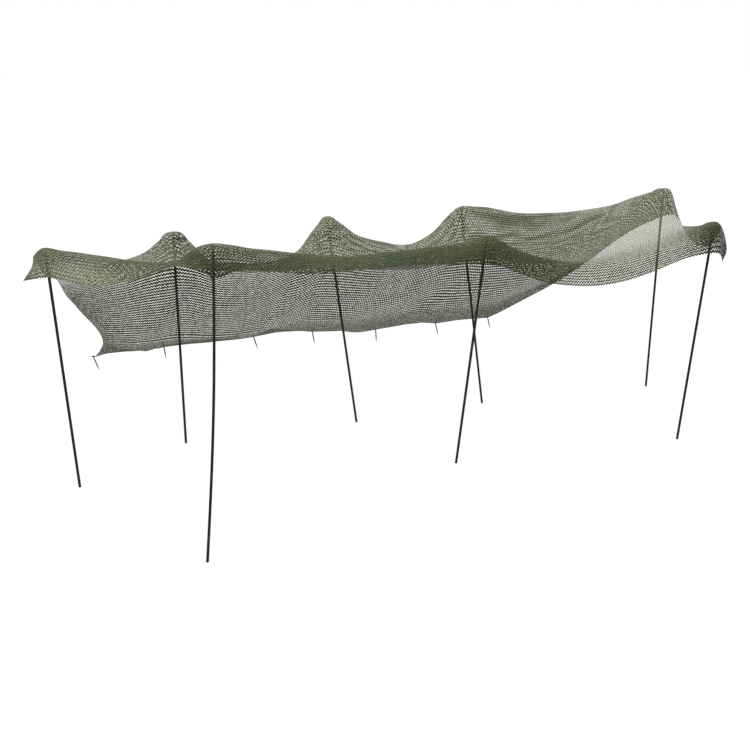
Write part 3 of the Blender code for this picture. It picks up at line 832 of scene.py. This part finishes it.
LIT_UP_FACE = (0.190, 0.206, 0.138)      # painted light: outer side of strands that face the sky, lighter as if lit from above
# painted shade: strands that face sideways, darker as if less lit
HALF_SHADED_SIDE = (0.110, 0.121, 0.086)
# painted shade: strands that face down, darker still
SHADED_DOWN_FACE = (0.080, 0.092, 0.058)
SHADED_INNER_SIDE = (0.020, 0.026, 0.001)   # painted shade: the side turned to the shelter, near black as if it lay in shade
DEEP_SHADE_TINT = (1.0, 1.08, 0.72)       # greener, less blue tint where the painted shade is deepest
PLAIN_TINT = (1.0, 1.0, 1.0)
MOSSY = (0.046, 0.060, 0.012)        # outer side where the dye is mossy
# painted light and shade: colour by how far a face is turned up, lighter toward the sky and darker
# toward the floor: 0 is straight down, 1 straight up
OUTER_PAINTED_SHADING = [(0.0, SHADED_DOWN_FACE), (0.35, SHADED_DOWN_FACE), (0.72, HALF_SHADED_SIDE), (0.97, LIT_UP_FACE)]
# painted shade: the inner side by how far it is turned up, near black unless it faces the sky
INNER_PAINTED_SHADING = [(0.0, SHADED_INNER_SIDE), (0.60, SHADED_INNER_SIDE), (0.95, HALF_SHADED_SIDE)]
SHADE_TINTS = [(0.20, DEEP_SHADE_TINT), (0.90, PLAIN_TINT)]      # by the share of painted lightness: full tint in the deepest painted shade, none where the yarn isn't darkened
# tints by noise: wide soft patches, and flecks about two centimetres across
PATCH_SCALE = 1.3
PATCH_DETAIL = 4.0
PATCH_TINTS = [(0.30, (0.82, 0.90, 0.84)), (0.70, (1.16, 1.10, 1.02))]
FLECK_SCALE = 55.0
FLECK_DETAIL = 2.0
FLECK_TINTS = [(0.28, (0.62, 0.66, 0.60)), (0.50, PLAIN_TINT), (0.74, (1.42, 1.38, 1.34))]
# roughness by noise: scale, detail, smoothest, roughest; bump by noise: scale, detail, strength, depth
NET_ROUGH = (90.0, 2.0, 0.58, 0.82)
NET_BUMP = (420.0, 3.0, 0.35, 0.0006)
NET_SPECULAR = 0.15


def net_material():
    """Yarn with painted light and shade by side and by how far a face turns up, painted light and
    shade along rows and in patches, moss, and random patches and flecks.
    """
    mat, tree, shader = new_material("net_cloth")
    coords = node(tree, "ShaderNodeTexCoord").outputs["Object"]
    normal = node(tree, "ShaderNodeNewGeometry").outputs["Normal"]
    up = node(tree, "ShaderNodeSeparateXYZ", {"Vector": normal}).outputs["Z"]
    level = value_map(tree, up, -1.0, 1.0, 0.0, 1.0)
    outer, shade, green = (
        node(tree, "ShaderNodeAttribute", attribute_name=mark).outputs["Fac"]
        for mark in ("outer", "painted_lightness", "moss")
    )
    grey = node(tree, "ShaderNodeCombineColor", {"Red": shade, "Green": shade, "Blue": shade})
    # painted light and shade: the outer side is lighter the more it faces up
    outside = ramp(tree, level, OUTER_PAINTED_SHADING)
    # painted light and shade along the rows and in patches, by a share that multiplies the colour
    outside = mix(tree, 1.0, outside, grey.outputs["Color"], "MULTIPLY")
    # tint that goes with the painted shade
    outside = mix(tree, 1.0, outside, ramp(tree, shade, SHADE_TINTS), "MULTIPLY")
    outside = mix(tree, green, outside, (*MOSSY, 1.0))
    # painted shade: the inner side takes the dark ramp, the outer side the lit one
    colour = mix(tree, outer, ramp(tree, level, INNER_PAINTED_SHADING), outside)
    patches = ramp(tree, noise(tree, coords, PATCH_SCALE, PATCH_DETAIL), PATCH_TINTS)
    colour = mix(tree, 1.0, colour, patches, "MULTIPLY")
    flecks = ramp(tree, noise(tree, coords, FLECK_SCALE, FLECK_DETAIL), FLECK_TINTS)
    colour = mix(tree, 1.0, colour, flecks, "MULTIPLY")
    tree.links.new(colour, shader.inputs["Base Color"])
    surface(tree, coords, shader, NET_ROUGH, NET_BUMP)
    shader.inputs["Specular IOR Level"].default_value = NET_SPECULAR
    return mat


def plain_material(name, mottle, rough, bump, specular):
    """Material with one mottled colour."""
    mat, tree, shader = new_material(name)
    coords = node(tree, "ShaderNodeTexCoord").outputs["Object"]
    scale, detail, colours = mottle
    colour = ramp(tree, noise(tree, coords, scale, detail), colours)
    tree.links.new(colour, shader.inputs["Base Color"])
    surface(tree, coords, shader, rough, bump)
    shader.inputs["Specular IOR Level"].default_value = specular
    return mat


POLE_PAINT = [(0.32, (0.006, 0.008, 0.004)), (0.55, (0.012, 0.015, 0.008)),
              (0.75, (0.024, 0.032, 0.016))]
POLE_MOTTLE = (9.0, 5.0, POLE_PAINT)     # noise scale, detail and colours
POLE_ROUGH = (60.0, 3.0, 0.42, 0.66)
POLE_BUMP = (260.0, 3.0, 0.3, 0.0004)
POLE_SPECULAR = 0.12
PEG_STEEL = [(0.30, (0.010, 0.010, 0.009)), (0.70, (0.040, 0.039, 0.036))]
PEG_MOTTLE = (70.0, 4.0, PEG_STEEL)
PEG_ROUGH = (180.0, 3.0, 0.35, 0.62)
PEG_BUMP = (500.0, 2.0, 0.25, 0.0003)
PEG_SPECULAR = 0.04

NET_MATERIAL = net_material()
POLE_MATERIAL = plain_material("pole_paint", POLE_MOTTLE, POLE_ROUGH, POLE_BUMP, POLE_SPECULAR)
PEG_MATERIAL = plain_material("peg_steel", PEG_MOTTLE, PEG_ROUGH, PEG_BUMP, PEG_SPECULAR)

# ---------------------------------------------------------------- net pieces
PARTS = 6                      # joined meshes, each under 200,000 triangles
SEED = 11                      # seed of the unevenness


def net_piece(number, first, rows, places, starts, rng):
    """One joined mesh of neighbouring strands, with the links to the strand after each."""
    first_v = rows[0] - 0.5 * strand_sizes(rows[0])[0] / PANEL_LENGTH
    last_v = rows[-1] + 0.5 * strand_sizes(rows[-1])[0] / PANEL_LENGTH
    built = Builder(first_v, last_v)
    for k, v0 in enumerate(rows):
        at = first + k
        built.strand(v0, starts[at], rng)
        if at + 1 < len(places):
            built.links(v0, places[at + 1], starts[at], starts[at + 1], k % LINK_STEP)
    piece = mesh_object(f"net_part_{number}", built, NET_MATERIAL)
    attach(piece, "root")
    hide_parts("net")
    rests = [name for name, (column, row) in POLE_CORNERS.items() if first_v <= row < last_v]
    rests += [peg[0] for peg in PEGS] if last_v > NET_ROWS - 1 else []


def dressed_net():
    """All strands of the net, in a few joined meshes from the front hem to the pegged hem."""
    places = row_places()
    starts = phases(places)
    share = math.ceil(len(places) / PARTS)
    rng = np.random.default_rng(SEED)
    for part in range(PARTS):
        first = part * share
        net_piece(part + 1, first, places[first:first + share], places, starts, rng)


dressed_net()

# ---------------------------------------------------------------- poles and pegs
SHARP_ANGLE = 50.0             # degrees between faces above which an edge stays sharp


def turned(name, rings, sides, mat):
    """Smooth stack of level rings (x, y, z, radius) with a flat cap at each end."""
    build = bmesh.new()
    loops = []
    for x, y, z, radius in rings:
        angles = [2 * math.pi * k / sides for k in range(sides)]
        loops.append([build.verts.new((x + radius * math.cos(a), y + radius * math.sin(a), z))
                      for a in angles])
    for low, high in zip(loops, loops[1:]):
        for k in range(sides):
            n = (k + 1) % sides
            build.faces.new((low[k], low[n], high[n], high[k]))
    build.faces.new(loops[0][::-1])
    build.faces.new(loops[-1])
    mesh = bpy.data.meshes.new(name)
    build.to_mesh(mesh)
    build.free()
    mesh.shade_smooth()
    mesh.set_sharp_from_angle(angle=math.radians(SHARP_ANGLE))
    mesh.materials.append(mat)
    return link_object(name, mesh)


POLE_TURN = 32                 # sides of a dressed pole
FOOT_CHAMFER = 0.0015
STRAIGHT_STEPS = 4             # rings along a straight and along a bowed pole
BOWED_STEPS = 24
TIP_STEPS = 7


def dressed_pole(pole):
    """Smooth pole with a chamfered foot and a rounded tip, as high as its solid."""
    name, foot_x, foot_y, head_x, head_y = pole[:5]
    bow = pole[8]
    radius = BOWED_POLE_RADIUS if bow else POLE_RADIUS
    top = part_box(name)[1][2]
    shoulder = top - POLE_TIP[0][1]
    rings = []

    def ring(part, share):
        x = foot_x + (head_x - foot_x) * part + bow * math.sin(math.pi * part) - ORIGIN_X
        y = foot_y + (head_y - foot_y) * part - ORIGIN_Y
        rings.append((x, y, shoulder * part, radius * share))

    ring(0.0, 1.0 - FOOT_CHAMFER / radius)
    ring(FOOT_CHAMFER / shoulder, 1.0)
    steps = BOWED_STEPS if bow else STRAIGHT_STEPS
    for k in range(1, steps + 1):
        ring(k / steps, 1.0)
    depths = [depth for share, depth in POLE_TIP][::-1]
    shares = [share for share, depth in POLE_TIP][::-1]
    for k in range(1, TIP_STEPS + 1):
        depth = POLE_TIP[0][1] * (1.0 - k / TIP_STEPS)
        share = float(np.interp(depth, depths, shares))
        rings.append((head_x - ORIGIN_X, head_y - ORIGIN_Y, top - depth, radius * share))
    obj = turned(f"{name}_dressed", rings, POLE_TURN, POLE_MATERIAL)
    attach(obj, "root")
    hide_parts(name)


for pole in POLES:
    dressed_pole(pole)

PEG_TURN = 24                  # sides of a dressed peg
PEG_POINT = (0.12, 0.24, 0.35)   # rings of the tapered point, as shares of the shank's height
PEG_MIDDLE = 0.7               # ring halfway up the even part of the shank
PEG_COLLAR = 1.25              # short flare of the shank under the head
PEG_COLLAR_HEIGHT = 0.001
PEG_SEAM = 0.0003              # step between the flare and the head
# level in the head's height, share of its radius
PEG_DOME = [(0.00, 0.90), (0.15, 1.00), (0.55, 1.00), (0.80, 0.90), (0.94, 0.62), (1.00, 0.30)]


def outward(column):
    """Level direction that points away from the net at a hem corner."""
    before = HUNG[max(column - 1, 0), NET_ROWS, :2]
    after = HUNG[min(column + 1, NET_COLUMNS), NET_ROWS, :2]
    along = (after - before) / np.linalg.norm(after - before)
    away = np.array([-along[1], along[0]])
    if column == 0:
        away = away - along
    if column == NET_COLUMNS:
        away = away + along
    return away / np.linalg.norm(away)


def dressed_peg(peg):
    """Smooth leaning peg with a tapered point and a low domed head, as high as its solid."""
    name, column, lean_x, lean_y, outset = peg
    hem = HUNG[column, NET_ROWS]
    away = outward(column)
    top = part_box(name)[1][2]
    under = top - PEG_HEAD_THICKNESS
    rings = []

    def ring(z, radius):
        part = 1.0 - min(z, under) / hem[2]
        x = hem[0] + away[0] * outset + lean_x * part
        y = hem[1] + away[1] * outset + lean_y * part
        rings.append((x, y, z, radius))

    ring(0.0, PEG_TIP_RADIUS)
    for share in PEG_POINT:
        part = share / PEG_POINT[-1]
        ring(under * share, PEG_TIP_RADIUS + (PEG_SHANK_RADIUS - PEG_TIP_RADIUS) * part)
    ring(under * PEG_MIDDLE, PEG_SHANK_RADIUS)
    ring(under - PEG_COLLAR_HEIGHT, PEG_SHANK_RADIUS)
    ring(under, PEG_SHANK_RADIUS * PEG_COLLAR)
    for level, share in PEG_DOME:
        z = under + PEG_SEAM + (PEG_HEAD_THICKNESS - PEG_SEAM) * level
        ring(z, PEG_HEAD_RADIUS * share)
    obj = turned(f"{name}_dressed", rings, PEG_TURN, PEG_MATERIAL)
    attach(obj, "root")
    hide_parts(name)


for peg in PEGS:
    dressed_peg(peg)

# ---------------------------------------------------------------- floor, light, camera
FLOOR_REACH = 150.0
FLOOR_GREY = 0.05
FLOOR_ROUGHNESS = 0.9
FLOOR_SPECULAR = 0.1
FLOOR_GLOW = 0.985             # the floor is a lit white studio surface
WORLD_LIGHT = 1.0
LAMP_PLACE = (-3.0, 2.0, 13.0)
LAMP_TARGET = (0.0, 0.0, 1.5)
LAMP_SIZE = 8.0
LAMP_POWER = 1200.0
CAMERA_X = -3.6722             # in the tables' axes
CAMERA_Y = -10.0772
CAMERA_HEIGHT = 4.27
CAMERA_DOWN = 19.855           # degrees below level, and turned to the right
CAMERA_RIGHT = 19.3185
LENS = 43.2
SENSOR = 36.0
CAMERA_FAR = 400.0


def studio_floor():
    """Wide plain floor with an even white glow."""
    material, tree, shader = new_material("floor_paint")
    shader.inputs["Emission Color"].default_value = (1.0, 1.0, 1.0, 1.0)
    shader.inputs["Emission Strength"].default_value = FLOOR_GLOW
    shader.inputs["Base Color"].default_value = (FLOOR_GREY, FLOOR_GREY, FLOOR_GREY, 1.0)
    shader.inputs["Roughness"].default_value = FLOOR_ROUGHNESS
    shader.inputs["Specular IOR Level"].default_value = FLOOR_SPECULAR
    mesh = bpy.data.meshes.new("floor")
    corners = [(-1, -1), (1, -1), (1, 1), (-1, 1)]
    mesh.from_pydata([(x * FLOOR_REACH, y * FLOOR_REACH, 0) for x, y in corners], [],
                     [(0, 1, 2, 3)])
    mesh.materials.append(material)
    floor = link_object("floor", mesh)


def studio_light():
    """White light from all round and one large soft lamp above."""
    world = bpy.data.worlds.new("studio")
    bpy.context.scene.world = world
    world.use_nodes = True
    background = world.node_tree.nodes["Background"]
    background.inputs["Color"].default_value = (1.0, 1.0, 1.0, 1.0)
    background.inputs["Strength"].default_value = WORLD_LIGHT
    lamp = bpy.data.lights.new("key", "AREA")
    lamp.shape = "DISK"
    lamp.size = LAMP_SIZE
    lamp.energy = LAMP_POWER
    obj = link_object("key", lamp)
    obj.location = LAMP_PLACE
    direction = Vector(LAMP_TARGET) - Vector(LAMP_PLACE)
    obj.rotation_euler = direction.to_track_quat("-Z", "Y").to_euler()


def studio_camera():
    """Camera at the photograph's viewing angle."""
    data = bpy.data.cameras.new("camera")
    data.lens = LENS
    data.sensor_width = SENSOR
    data.clip_end = CAMERA_FAR
    camera = link_object("camera", data)
    camera.location = (CAMERA_X - ORIGIN_X, CAMERA_Y - ORIGIN_Y, CAMERA_HEIGHT)
    tilt = math.radians(90.0 - CAMERA_DOWN)
    camera.rotation_euler = (tilt, 0.0, math.radians(-CAMERA_RIGHT))
    bpy.context.scene.camera = camera


studio_floor()
studio_light()
studio_camera()
bpy.context.scene.view_settings.view_transform = "Standard"
